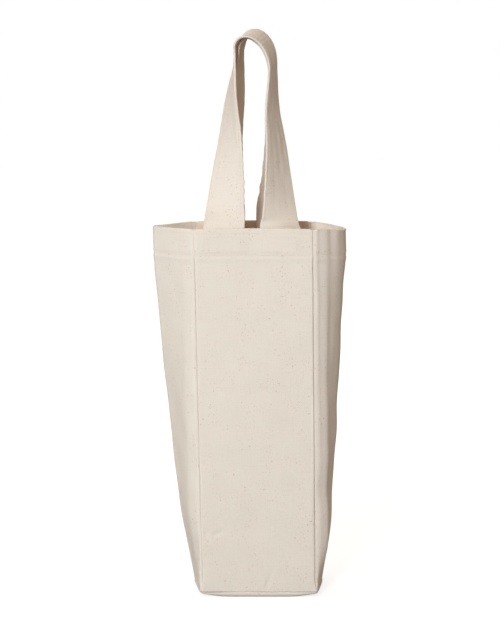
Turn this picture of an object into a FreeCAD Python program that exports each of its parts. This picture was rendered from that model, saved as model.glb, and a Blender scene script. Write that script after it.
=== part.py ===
import FreeCAD, Part
import math
import os

# A natural canvas tote for one bottle: two flat panels, two gussets that belly
# outwards, a base panel, and two twisted self-fabric handles sewn inside the hem.
# Millimetres, X to the right, Y to the back, Z up, origin at the middle of the base.

Vector = FreeCAD.Vector

# Cloth and seams
CLOTH = 0.9
SEAM_GAP = 0.1
SEAM_ROLL = 1.3
SEAM_ALLOWANCE = 8.0
SHORT_ALLOWANCE = 3.4
ALLOWANCE_CLEARANCE = 9.0

# Bag
BAG_HEIGHT = 325.0
BASE_WIDTH = 102.7
BASE_DEPTH = 112.0
RIM_WIDTH = 105.0
RIM_DEPTH = 86.0
RIM_SHIFT = -5.3
BASE_LIFT = 4.4
BASE_EDGE_RADIUS = 3.2
BASE_CORNER_RADIUS = 5.0
HEM_DEPTH = 25.0
HEM_INSET = 5.0

# Gussets: how far each bellies out beyond its seams, and how tightly it is creased.
# A crease share is the radius at the rim over half the rim's depth.
LEFT_BELLY_BASE = 6.0
LEFT_BELLY_RIM = 36.4
LEFT_BELLY_EASE = 1.9
LEFT_CREASE_BASE = 60.0
LEFT_CREASE_SHARE = 0.21
RIGHT_BELLY_BASE = 5.5
RIGHT_BELLY_RIM = 31.0
RIGHT_BELLY_EASE = 1.5
RIGHT_CREASE_BASE = 80.0
RIGHT_CREASE_SHARE = 0.84
CREASE_EASE = 3.0
WALL_SECTION_COUNT = 9

# Handles: where each leg is sewn on, where it meets the arch, and how it twists
STRAP_WIDTH = 36.0
STRAP_THICKNESS = 2.0
STRAP_CLEARANCE = 0.3
ARCH_SPREAD = 7.0
TWIST_START = 0.16
EDGE_LEAN = 1.3
FRONT_LEFT_ROOT = -30.0
FRONT_RIGHT_ROOT = 18.0
FRONT_LEFT_TOP = -21.0
FRONT_RIGHT_TOP = 12.0
FRONT_LEG_RISE = 151.0
FRONT_LEFT_TURN = 90.0
FRONT_RIGHT_TURN = 78.0
FRONT_ARCH_TURN = 98.0
FRONT_LEFT_PACE = 0.7
FRONT_RIGHT_PACE = 0.42
FRONT_TILT = 11.0
BACK_LEFT_ROOT = -28.0
BACK_RIGHT_ROOT = 16.0
BACK_LEFT_TOP = -13.4
BACK_RIGHT_TOP = 6.0
BACK_LEG_RISE = 152.5
BACK_LEFT_TURN = 84.0
BACK_RIGHT_TURN = 92.0
BACK_ARCH_TURN = 92.0
BACK_LEFT_PACE = 0.38
BACK_RIGHT_PACE = 0.4
BACK_TILT = -11.0

# Sewing thread lying on the cloth
THREAD = 0.5
THREAD_GAP = 0.08
RIM_STITCH_DROP = 4.0
HEM_STITCH_RISE = 2.0
BOX_STITCH_INSET = 3.0

WALL_FOOT = BASE_LIFT + SEAM_GAP
HEM_FOOT = BAG_HEIGHT - HEM_DEPTH
HEM_THICKNESS = 2.0 * CLOTH


def blend(start, end, share):
    return start + (end - start) * share


def seam_x(side, z):
    """X of the corner seams of one side (-1 left, +1 right) at height z."""
    share = z / BAG_HEIGHT
    return share * RIM_SHIFT + side * blend(BASE_WIDTH, RIM_WIDTH, share) / 2.0


def half_depth(z):
    return blend(BASE_DEPTH, RIM_DEPTH, z / BAG_HEIGHT) / 2.0


def gusset_crease(side, z):
    """Outward reach of the corner that the crease rounds, and the crease radius."""
    rest = 1.0 - z / BAG_HEIGHT
    if side < 0:
        belly = blend(LEFT_BELLY_RIM, LEFT_BELLY_BASE, rest ** LEFT_BELLY_EASE)
        radius = blend(LEFT_CREASE_SHARE * RIM_DEPTH / 2.0, LEFT_CREASE_BASE, rest ** CREASE_EASE)
    else:
        belly = blend(RIGHT_BELLY_RIM, RIGHT_BELLY_BASE, rest ** RIGHT_BELLY_EASE)
        radius = blend(RIGHT_CREASE_SHARE * RIM_DEPTH / 2.0, RIGHT_CREASE_BASE, rest ** CREASE_EASE)
    depth = half_depth(z)
    centre = belly - radius
    reach = math.hypot(centre, depth)
    tangent = math.atan2(depth, -centre) - math.acos(radius / reach)
    return centre + radius / math.cos(tangent), radius


def wall_line(name, z):
    """Outer line of one wall at height z, run with the bag's inside on its left."""
    depth = half_depth(z)
    left = seam_x(-1, z)
    right = seam_x(1, z)
    if name == "front":
        return [Vector(left, -depth, z), Vector(right, -depth, z)], []
    if name == "back":
        return [Vector(right, depth, z), Vector(left, depth, z)], []
    side = 1 if name == "right" else -1
    reach, radius = gusset_crease(side, z)
    seam = seam_x(side, z)
    line = [
        Vector(seam, -side * depth, z),
        Vector(seam + side * reach, 0.0, z),
        Vector(seam, side * depth, z),
    ]
    return line, [radius]


BEFORE = {"front": "left", "right": "front", "back": "right", "left": "back"}
AFTER = {last: first for first, last in BEFORE.items()}


def direction(start, end):
    return (end - start).normalize()


def left_of(heading):
    return Vector(-heading.y, heading.x, 0.0)


def seam_ends(name, z):
    """Start and end of a wall's outer line at its seams, and the two inward bisectors."""
    line, radii = wall_line(name, z)
    before, _ = wall_line(BEFORE[name], z)
    after, _ = wall_line(AFTER[name], z)
    first = direction(line[0], line[1])
    last = direction(line[-2], line[-1])
    into_start = (first - direction(before[-2], before[-1])).normalize()
    into_end = (direction(after[0], after[1]) - last).normalize()
    step_start = SEAM_GAP / 2.0 / abs(first.cross(into_start).z)
    step_end = SEAM_GAP / 2.0 / abs(last.cross(into_end).z)
    start = line[0] + first * step_start
    end = line[-1] - last * step_end
    return start, end, into_start, into_end, line[1:-1], radii


def offset_points(points, offset, cut_start, cut_end):
    """Corners of a polyline shifted to its left, its ends cut along given directions."""
    headings = [direction(a, b) for a, b in zip(points, points[1:])]
    shifted = [points[0] + cut_start * (offset / cut_start.dot(left_of(headings[0])))]
    for corner, arriving, leaving in zip(points[1:], headings, headings[1:]):
        middle = left_of(arriving) + left_of(leaving)
        shifted.append(corner + middle * (offset / middle.dot(left_of(leaving))))
    shifted.append(points[-1] + cut_end * (offset / cut_end.dot(left_of(headings[-1]))))
    return shifted


def rounded_edges(points, radii):
    """Line and arc edges along a polyline whose corners are rounded."""
    edges = []
    start = points[0]
    for before, corner, after, radius in zip(points, points[1:], points[2:], radii):
        back = direction(corner, before)
        onward = direction(corner, after)
        half_angle = back.getAngle(onward) / 2.0
        run = radius / math.tan(half_angle)
        middle = (back + onward).normalize()
        centre = corner + middle * (radius / math.sin(half_angle))
        arc_start = corner + back * run
        arc_end = corner + onward * run
        edges.append(Part.LineSegment(start, arc_start).toShape())
        edges.append(Part.Arc(arc_start, centre - middle * radius, arc_end).toShape())
        start = arc_end
    edges.append(Part.LineSegment(start, points[-1]).toShape())
    return edges


def ribbon_wire(points, radii, near, far, cut_start=None, cut_end=None):
    """Closed outline of cloth lying between two offsets to the left of a polyline."""
    cut_start = cut_start or left_of(direction(points[0], points[1]))
    cut_end = cut_end or left_of(direction(points[-2], points[-1]))
    outer = offset_points(points, near, cut_start, cut_end)
    inner = offset_points(points, far, cut_start, cut_end)
    outer_edges = rounded_edges(outer, [radius - near for radius in radii])
    inner_edges = rounded_edges(inner[::-1], [radius - far for radius in radii[::-1]])
    close_end = Part.LineSegment(outer[-1], inner[-1]).toShape()
    close_start = Part.LineSegment(inner[0], outer[0]).toShape()
    return Part.Wire(outer_edges + [close_end] + inner_edges + [close_start])


def wall_wire(name, z, allowance):
    """A wall's cross-section, both its edges rolled inwards into seam allowances."""
    start, end, into_start, into_end, corners, radii = seam_ends(name, z)
    points = [start + into_start * allowance, start]
    points += corners
    points += [end, end + into_end * allowance]
    return ribbon_wire(points, [SEAM_ROLL] + radii + [SEAM_ROLL], 0.0, CLOTH)


def hem_wire(name, z):
    """The hem's turned-in ply, which stops short of the corner seams."""
    start, end, _, _, corners, radii = seam_ends(name, z)
    line = [start] + corners + [end]
    line[0] = start + direction(line[0], line[1]) * HEM_INSET
    line[-1] = end + direction(line[-1], line[-2]) * HEM_INSET
    return ribbon_wire(line, radii, CLOTH / 2.0, HEM_THICKNESS)


def foot_wire(name, z):
    """The allowance turned in under a wall, mitred along the corner seams."""
    start, end, into_start, into_end, corners, radii = seam_ends(name, z)
    line = [start] + corners + [end]
    return ribbon_wire(line, radii, CLOTH / 2.0, SEAM_ALLOWANCE, into_start, into_end)


def heights(low, high, count):
    return [blend(low, high, step / (count - 1)) for step in range(count)]


def wall(name):
    """One wall: foot allowance, body with full seam allowances, and doubled hem."""
    body_foot = WALL_FOOT + ALLOWANCE_CLEARANCE
    body_top = HEM_FOOT - CLOTH
    foot_face = Part.Face(foot_wire(name, WALL_FOOT))
    pieces = [foot_face.extrude(Vector(0.0, 0.0, CLOTH))]
    zones = [
        (WALL_FOOT, body_foot, 2, SHORT_ALLOWANCE),
        (body_foot, body_top, WALL_SECTION_COUNT, SEAM_ALLOWANCE),
        (body_top, BAG_HEIGHT, 2, SHORT_ALLOWANCE),
    ]
    for low, high, count, allowance in zones:
        wires = [wall_wire(name, z, allowance) for z in heights(low, high, count)]
        pieces.append(Part.makeLoft(wires, True, True))
    hem = [hem_wire(name, z) for z in (HEM_FOOT, BAG_HEIGHT)]
    pieces.append(Part.makeLoft(hem, True, True))
    return pieces[0].fuse(pieces[1:]).removeSplitter()


def outline_wire(z, inset):
    """The whole bag's outline at height z, drawn in by an inset."""
    corners = []
    radii = []
    for name in ("front", "right", "back", "left"):
        line, creases = wall_line(name, z)
        corners += line[:-1]
        radii += [BASE_CORNER_RADIUS] + creases
    loop = [corners[-1]] + corners + [corners[0]]
    drawn = []
    for before, corner, after in zip(loop, loop[1:], loop[2:]):
        arriving = left_of(direction(before, corner))
        leaving = left_of(direction(corner, after))
        middle = arriving + leaving
        drawn.append(corner + middle * (inset / middle.dot(leaving)))
    start = (drawn[-1] + drawn[0]) / 2.0
    points = [start] + drawn + [start]
    return Part.Wire(rounded_edges(points, [max(radius - inset, CLOTH) for radius in radii]))


def base_block(inset, low, high, radius):
    """A slab of the base's outline with its lower edge rounded."""
    outline = Part.Face(outline_wire(WALL_FOOT, inset))
    outline.translate(Vector(0.0, 0.0, low - WALL_FOOT))
    slab = outline.extrude(Vector(0.0, 0.0, high - low))
    middle = (low + high) / 2.0
    floor_edges = [edge for edge in slab.Edges if edge.BoundBox.ZMax < middle]
    return slab.makeFillet(radius, floor_edges)


def base_panel():
    """A shallow tray of cloth whose edge rolls up and turns in under the walls."""
    block = base_block(0.0, 0.0, BASE_LIFT, BASE_EDGE_RADIUS)
    hollow = base_block(CLOTH, CLOTH, BASE_LIFT - CLOTH, BASE_EDGE_RADIUS - CLOTH)
    mouth = Part.Face(outline_wire(WALL_FOOT, SEAM_ALLOWANCE))
    mouth.translate(Vector(0.0, 0.0, BASE_LIFT / 2.0 - WALL_FOOT))
    mouth = mouth.extrude(Vector(0.0, 0.0, BASE_LIFT))
    return block.cut(hollow.fuse(mouth))


def panel_frame(side):
    """Placement of a flat panel: X along the rim, Y into the bag, Z up the cloth."""
    lean = math.degrees(math.atan2((BASE_DEPTH - RIM_DEPTH) / 2.0, BAG_HEIGHT))
    place = FreeCAD.Placement(
        Vector(0.0, -RIM_DEPTH / 2.0, BAG_HEIGHT),
        FreeCAD.Rotation(Vector(1.0, 0.0, 0.0), -lean),
    )
    if side > 0:
        place = FreeCAD.Placement(Vector(), FreeCAD.Rotation(Vector(0.0, 0.0, 1.0), 180.0)) * place
    return place


def plate(side, x, low, high, near, far, width):
    """A flat strip on a panel, from one distance into the bag to another."""
    box = Part.makeBox(width, far - near, high - low)
    along = x if side < 0 else -x
    box.translate(Vector(along - width / 2.0, near, low))
    box.transformShape((panel_frame(side) * FreeCAD.Placement()).toMatrix())
    return box


def handle_ends(side, roots):
    """The two strap ends of one handle, sewn flat inside the hem."""
    near = HEM_THICKNESS + SEAM_GAP
    far = near + STRAP_THICKNESS
    ends = [plate(side, x, -HEM_DEPTH, 0.0, near, far, STRAP_WIDTH) for x in roots]
    return Part.makeCompound(ends)


def box_stitch(side, roots):
    """The rectangles of thread outside the panel that hold the strap ends."""
    frames = []
    near = -THREAD_GAP - THREAD
    width = STRAP_WIDTH - 2.0 * BOX_STITCH_INSET
    low = HEM_STITCH_RISE - HEM_DEPTH + BOX_STITCH_INSET
    high = -RIM_STITCH_DROP - BOX_STITCH_INSET
    for x in roots:
        frame = plate(side, x, low, high, near, -THREAD_GAP, width)
        inner = plate(
            side, x, low + THREAD, high - THREAD, near - THREAD, 0.0, width - 2.0 * THREAD
        )
        frames.append(frame.cut(inner))
    return Part.makeCompound(frames)


def stitch_ring(z):
    """A row of thread right round the outside of the bag, one run on each wall."""
    runs = []
    for name in ("front", "right", "back", "left"):
        start, end, _, _, corners, radii = seam_ends(name, z)
        line = [start] + corners + [end]
        line[0] = start + direction(line[0], line[1]) * SHORT_ALLOWANCE
        line[-1] = end + direction(line[-1], line[-2]) * SHORT_ALLOWANCE
        wire = ribbon_wire(line, radii, -THREAD_GAP - THREAD, -THREAD_GAP)
        runs.append(Part.Face(wire).extrude(Vector(0.0, 0.0, THREAD)))
    return Part.makeCompound(runs)


class Handle:
    """A strap that rises from two sewn ends, twists on each leg and arches over."""

    def __init__(self, side, roots, tops, rise, turns, arch_turn, paces, tilt):
        self.side = side
        self.roots = roots
        self.tops = tops
        self.rise = rise
        self.turns = [math.radians(turn) for turn in turns]
        self.arch_turn = math.radians(arch_turn)
        self.paces = paces
        self.tilt = math.sin(math.radians(tilt))
        self.foot = BAG_HEIGHT + STRAP_CLEARANCE
        self.root_y = RIM_DEPTH / 2.0 - HEM_THICKNESS - SEAM_GAP - STRAP_THICKNESS / 2.0

    def leg_turn(self, leg, share):
        """Angle of the strap from the rim's direction, part way up a leg."""
        soft = min(share / TWIST_START, 1.0)
        soft = soft * soft * (3.0 - 2.0 * soft)
        return self.turns[leg] * share ** self.paces[leg] * soft

    def leg_point(self, leg, share):
        """Middle of the strap part way up a leg; its outward edge leads the lean."""
        half = STRAP_WIDTH / 2.0
        edge_top = -ARCH_SPREAD - half * math.sin(self.turns[leg])
        edge = blend(-self.root_y, edge_top, share ** EDGE_LEAN)
        x = blend(self.roots[leg], self.tops[leg], share)
        y = edge + half * math.sin(self.leg_turn(leg, share))
        return Vector(x, y, self.foot + self.rise * share)

    def arch_point(self, angle):
        radius = (self.tops[1] - self.tops[0]) / 2.0
        x = (self.tops[1] + self.tops[0]) / 2.0 - radius * math.cos(angle)
        return Vector(x, -ARCH_SPREAD, self.foot + self.rise + radius * math.sin(angle))

    def arch_turn_at(self, angle):
        ends = [self.turns[0], math.pi - self.turns[1]]
        end = ends[0] if angle < math.pi / 2.0 else ends[1]
        return blend(end, self.arch_turn, math.sin(angle))

    def stations(self):
        """Middle, heading and turn of the strap from its left root to its right root."""
        shares = [0.0, 0.04, 0.08, 0.12, 0.18, 0.28, 0.42, 0.56, 0.7, 0.85]
        step = 0.002
        rows = []
        for share in shares:
            low = max(share - step, 0.0)
            heading = self.leg_point(0, share + step) - self.leg_point(0, low)
            rows.append((self.leg_point(0, share), heading, self.leg_turn(0, share), share))
        for count in range(9):
            angle = math.pi * count / 8.0
            heading = Vector(math.sin(angle), 0.0, math.cos(angle))
            rows.append((self.arch_point(angle), heading, self.arch_turn_at(angle), 1.0))
        for share in shares[::-1]:
            low = max(share - step, 0.0)
            heading = self.leg_point(1, low) - self.leg_point(1, share + step)
            turn = math.pi - self.leg_turn(1, share)
            rows.append((self.leg_point(1, share), heading, turn, share))
        upright = Vector(0.0, 0.0, 1.0)
        rows[0] = (rows[0][0], upright, rows[0][2], 0.0)
        rows[-1] = (rows[-1][0], upright * -1.0, rows[-1][2], 0.0)
        return rows

    def section(self, middle, heading, turn, share):
        """Corners of the flat strap across one station."""
        heading = heading.normalize()
        across = Vector(math.cos(turn), -math.sin(turn), -self.tilt * share ** 3)
        across = (across - heading * across.dot(heading)).normalize()
        face = heading.cross(across)
        edge = across * (STRAP_WIDTH / 2.0)
        skin = face * (STRAP_THICKNESS / 2.0)
        return [middle - edge - skin, middle + edge - skin, middle + edge + skin, middle - edge + skin]

    def loop(self):
        """Ruled faces between the smooth lines of the strap's corners, in short lengths."""
        rows = self.stations()
        sections = [self.section(*row) for row in rows]
        lengths = [0.0]
        for before, after in zip(rows, rows[1:]):
            lengths.append(lengths[-1] + before[0].distanceToPoint(after[0]))
        lines = []
        for track in zip(*sections):
            curve = Part.BSplineCurve()
            curve.interpolate(Points=list(track), Parameters=lengths)
            lines.append(curve)
        faces = []
        for low, high in zip(lengths[::2], lengths[2::2]):
            edges = [line.toShape(low, high) for line in lines]
            faces += [Part.makeRuledSurface(a, b) for a, b in zip(edges, edges[1:] + edges[:1])]
        for corners in (sections[0], sections[-1]):
            faces.append(Part.Face(Part.makePolygon(corners + corners[:1])))
        shell = Part.makeShell(faces)
        shell.sewShape()
        solid = Part.makeSolid(shell)
        if solid.Volume < 0.0:
            solid.reverse()
        if self.side > 0:
            solid = solid.mirror(Vector(), Vector(0.0, 1.0, 0.0))
        return solid


front_roots = (FRONT_LEFT_ROOT, FRONT_RIGHT_ROOT)
back_roots = (BACK_LEFT_ROOT, BACK_RIGHT_ROOT)
front_handle = Handle(
    -1,
    front_roots,
    (FRONT_LEFT_TOP, FRONT_RIGHT_TOP),
    FRONT_LEG_RISE,
    (FRONT_LEFT_TURN, FRONT_RIGHT_TURN),
    FRONT_ARCH_TURN,
    (FRONT_LEFT_PACE, FRONT_RIGHT_PACE),
    FRONT_TILT,
)
back_handle = Handle(
    1,
    back_roots,
    (BACK_LEFT_TOP, BACK_RIGHT_TOP),
    BACK_LEG_RISE,
    (BACK_LEFT_TURN, BACK_RIGHT_TURN),
    BACK_ARCH_TURN,
    (BACK_LEFT_PACE, BACK_RIGHT_PACE),
    BACK_TILT,
)

nodes = {
    "front_panel": wall("front"),
    "back_panel": wall("back"),
    "left_gusset": wall("left"),
    "right_gusset": wall("right"),
    "base_panel": base_panel(),
    "front_handle_loop": front_handle.loop(),
    "front_handle_ends": handle_ends(-1, front_roots),
    "back_handle_loop": back_handle.loop(),
    "back_handle_ends": handle_ends(1, back_roots),
    "front_handle_stitching": box_stitch(-1, front_roots),
    "back_handle_stitching": box_stitch(1, back_roots),
    "hem_stitching": stitch_ring(HEM_FOOT + HEM_STITCH_RISE),
    "rim_stitching": stitch_ring(BAG_HEIGHT - RIM_STITCH_DROP),
}

os.makedirs("parts", exist_ok=True)
for name, shape in nodes.items():
    valid = "valid" if shape.isValid() else "broken"
    print(name, valid, len(shape.Solids), "solids", round(shape.Volume), "mm3")
    shape.exportStep("parts/" + name + ".step")
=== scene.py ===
import math

import bpy
import numpy as np
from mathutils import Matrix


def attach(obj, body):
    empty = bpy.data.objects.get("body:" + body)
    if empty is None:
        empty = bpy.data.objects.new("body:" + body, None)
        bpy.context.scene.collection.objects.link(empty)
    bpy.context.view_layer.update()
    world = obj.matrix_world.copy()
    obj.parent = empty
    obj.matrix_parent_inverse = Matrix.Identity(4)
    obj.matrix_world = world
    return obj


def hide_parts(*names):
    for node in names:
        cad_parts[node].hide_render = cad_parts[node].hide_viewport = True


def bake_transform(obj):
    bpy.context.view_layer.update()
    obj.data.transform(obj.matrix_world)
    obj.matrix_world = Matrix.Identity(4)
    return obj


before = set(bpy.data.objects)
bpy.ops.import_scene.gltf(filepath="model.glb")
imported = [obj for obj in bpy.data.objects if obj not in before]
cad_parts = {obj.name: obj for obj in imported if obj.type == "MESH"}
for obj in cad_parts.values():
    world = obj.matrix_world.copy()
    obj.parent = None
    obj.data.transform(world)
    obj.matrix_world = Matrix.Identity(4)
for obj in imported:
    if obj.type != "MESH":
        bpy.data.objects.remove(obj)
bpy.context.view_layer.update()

# Front panel. One flat piece of natural cotton canvas. Its foot and sides are turned in as seam
# allowances, and its top is folded inside as a hem that also holds the ends of the front handle.
# Sizes are in millimetres where no comment gives another unit.

MM = 0.001
CLOTH = 0.9
BAG_HEIGHT = 325.0
BASE_WIDTH = 102.7
BASE_DEPTH = 112.0
RIM_WIDTH = 105.0
RIM_DEPTH = 86.0
RIM_SHIFT = -5.3
WALL_FOOT = 4.5
HEM_DEPTH = 25.0
HEM_FOOT = BAG_HEIGHT - HEM_DEPTH
HEM_ROW = 2.0
RIM_ROW = 4.0
HEM_STEP = 0.35
HEM_RIDGE = 0.1
HEM_GROOVE = 0.4
RIM_GROOVE = 0.15
SEAM_GAP = 0.1
SEAM_ALLOWANCE = 8.0
HEM_ALLOWANCE = 2.0
TURNED_ALLOWANCE = 0.15
SEAM_HOLD = 2.5
PUCKER_HEIGHT = 0.22
PUCKER_LENGTH = 8.5
PUCKER_REACH = 5.0
SEAM_ROLL = 1.5
FOOT_ROLL = 1.2
RIM_FOLD = 0.95
RIM_DIP = 0.9
DIP_WIDTH = 3.0
DIP_DEPTH = 8.0
RIM_DROP = 0.3
PANEL_RIM = 0.7
# How far a gusset bellies out at the base and at the rim, and the power that it changes by.
BELLY = {"left": (6.0, 36.4, 1.9), "right": (5.5, 31.0, 1.5)}
# The radius of a gusset's crease at the base and at the rim.
CREASE = {"left": (60.0, 9.03), "right": (80.0, 36.12)}
CREASE_POWER = 3.0
BEFORE = {"front": "left", "right": "front", "back": "right", "left": "back"}
AFTER = {last: first for first, last in BEFORE.items()}
# Steps up a wall's profile, and round the seam rolls at the start and the end of its line in plan.
PROFILE_STEPS = [6, 5, 210, 5, 0, 5, 22]
START_STEPS = [5, 6]
END_STEPS = [6, 6]
SEAM_COLUMN = 8
STRAP_WIDTH = 36.0
FRONT_ROOTS = (-30.8, 18.6)
BACK_ROOTS = (-30.5, 15.5)
BOX_HALF = 15.0
BOX_FOOT = 305.0
BOX_TOP = 318.0
STRAP_PLATE = 0.3
BOX_GROOVE = 0.22
FRONT_BOW = 0.8
# Slow waves: height, seed and length of each.
FRONT_WAVES = ((0.45, 11, 95.0), (0.2, 12, 38.0))
# Dents: depth, X and height of the middle, slope in degrees and length.
FRONT_DENTS = (
    (1.0, (-46.5, 57.5), -61.0, 5.0),
    (0.8, (-36.8, 56.7), 29.0, 5.0),
    (0.9, (7.8, 13.0), 73.0, 7.0),
)
DENT_WIDTH = 1.5


def ease(x):
    """0 below 0, 1 above 1, and 3 x squared minus 2 x cubed between."""
    x = np.clip(x, 0.0, 1.0)
    return x * x * (3.0 - 2.0 * x)


def mix(start, end, share):
    """A straight blend from start to end."""
    return start + (end - start) * share


def bump(x, middle, width):
    """A bell that is 1 at its middle and about a third one width away."""
    return np.exp(-(((x - middle) / width) ** 2))


def hump(share):
    """Half a sine wave: 0 at a share of 0 and of 1, and 1 half way."""
    return np.sin(np.pi * np.clip(share, 0.0, 1.0))


def unit(v):
    """Vectors divided by their length."""
    return v / np.linalg.norm(v, axis=-1, keepdims=True)


def dot(a, b):
    """Products of vectors, kept as one column."""
    return np.sum(a * b, axis=-1, keepdims=True)


def left_of(heading):
    """Headings in plan, turned a quarter turn to the left."""
    return np.stack([-heading[..., 1], heading[..., 0]], -1)


def pair(x, y):
    """Two coordinates as points in plan."""
    return np.stack(np.broadcast_arrays(np.asarray(x, float), np.asarray(y, float)), -1)


def run_along(points):
    """Length along a line of points, from 0 at the first."""
    return np.concatenate([[0.0], np.cumsum(np.linalg.norm(np.diff(points, axis=0), axis=1))])


def drift(u, v, seed, length):
    """Slow waviness between about -1 and 1: six sine waves of about one length, in drawn directions."""
    draw = np.random.default_rng(seed)
    turns, phases = draw.uniform(0.0, 2.0 * np.pi, (2, 6))
    stretches = draw.uniform(0.7, 1.5, 6)
    along = u[..., None] * np.cos(turns) + v[..., None] * np.sin(turns)
    return np.sin(along * 2.0 * np.pi / (length * stretches) + phases).sum(-1) / 3.0


def slow_waves(across, z, waves):
    """The sum of several fields of slow waviness."""
    return sum(height * drift(across, z, seed, length) for height, seed, length in waves)


def rounded_path(corners, radii, counts):
    """Points along a line of corners, each inner corner rounded by an arc, row by row.
    An arc of radius r in a corner of half angle h begins r / tan h before the corner, and its points
    turn about a centre r / sin h away along the bisector. counts gives the steps on each run and arc."""
    runs = []
    start = corners[0]
    steps = [np.arange(count)[None, :, None] / max(count, 1) for count in counts]
    for k, radius in enumerate(radii):
        radius = np.broadcast_to(np.asarray(radius, float), start.shape[:1])[:, None]
        back = unit(corners[k] - corners[k + 1])
        onward = unit(corners[k + 2] - corners[k + 1])
        half = np.arccos(np.clip(dot(back, onward), -1.0, 1.0)) / 2.0
        middle = unit(back + onward)
        aside = unit(back - onward)
        centre = corners[k + 1] + middle * radius / np.sin(half)
        arc_start = corners[k + 1] + back * radius / np.tan(half)
        runs.append(start[:, None] + (arc_start - start)[:, None] * steps[2 * k])
        sweep = (np.pi / 2.0 - half)[:, None] * (1.0 - 2.0 * steps[2 * k + 1])
        spoke = aside[:, None] * np.sin(sweep) - middle[:, None] * np.cos(sweep)
        runs.append(centre[:, None] + radius[:, None] * spoke)
        start = corners[k + 1] + onward * radius / np.tan(half)
    last = np.linspace(0.0, 1.0, counts[-1])[None, :, None]
    runs.append(start[:, None] + (corners[-1] - start)[:, None] * last)
    return np.concatenate(runs, axis=1)


def seam_x(side, z):
    """X of the corner seams of one side (-1 left, 1 right): the width blends from base to rim and shifts."""
    share = z / BAG_HEIGHT
    return share * RIM_SHIFT + side * mix(BASE_WIDTH, RIM_WIDTH, share) / 2.0


def half_depth(z):
    """Half the bag's depth, which shrinks evenly from base to rim."""
    return mix(BASE_DEPTH, RIM_DEPTH, z / BAG_HEIGHT) / 2.0


def wall_line(name, z):
    """Corners of one wall's outer line at heights z, the inside on its left, and its crease radius.
    A gusset bends at the corner whose rounding by that radius leaves it bellied out as far as it is."""
    depth = half_depth(z)
    if name == "front":
        return [pair(seam_x(-1, z), -depth), pair(seam_x(1, z), -depth)], []
    if name == "back":
        return [pair(seam_x(1, z), depth), pair(seam_x(-1, z), depth)], []
    side = 1 if name == "right" else -1
    base_belly, rim_belly, belly_power = BELLY[name]
    base_radius, rim_radius = CREASE[name]
    rest = 1.0 - z / BAG_HEIGHT
    radius = mix(rim_radius, base_radius, rest**CREASE_POWER)
    centre = mix(rim_belly, base_belly, rest**belly_power) - radius
    tangent = np.arctan2(depth, -centre) - np.arccos(radius / np.hypot(centre, depth))
    seam = seam_x(side, z)
    peak = pair(seam + side * (centre + radius / np.cos(tangent)), 0.0 * z)
    return [pair(seam, -side * depth), peak, pair(seam, side * depth)], [radius]


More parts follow.
